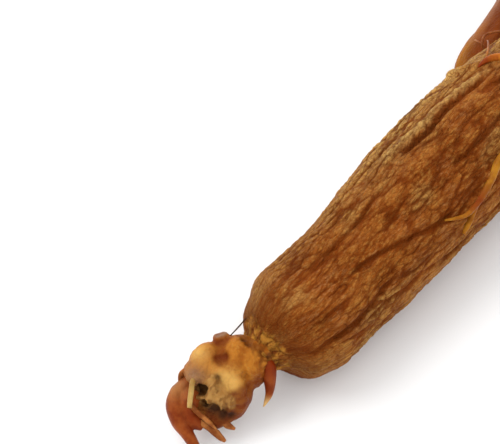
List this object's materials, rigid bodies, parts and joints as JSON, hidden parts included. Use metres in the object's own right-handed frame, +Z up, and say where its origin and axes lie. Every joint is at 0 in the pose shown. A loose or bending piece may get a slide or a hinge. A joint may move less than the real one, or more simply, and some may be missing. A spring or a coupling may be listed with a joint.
{
  "type": "ginseng root",
  "caption": "Steamed and dried ginseng root lying on its side, with its knotty head, wrinkled body, tapering legs and dried-on rootlets in one grown piece.",
  "frame": {"origin": "middle of the bounding box's footprint, on the surface that the root lies on", "axes": "+X along the root from its head to its leg tips, +Y to the root's left seen from its head, +Z up from the surface"},
  "size_m": [0.154, 0.0334, 0.0235],
  "materials": {
    "dried_root": "dry wrinkled reddish-brown skin with a dull, slightly waxy sheen, ochre on the ridges and head"
  },
  "bodies": {
    "root": {"ginseng_root": "dried_root"}
  },
  "joints": []
}
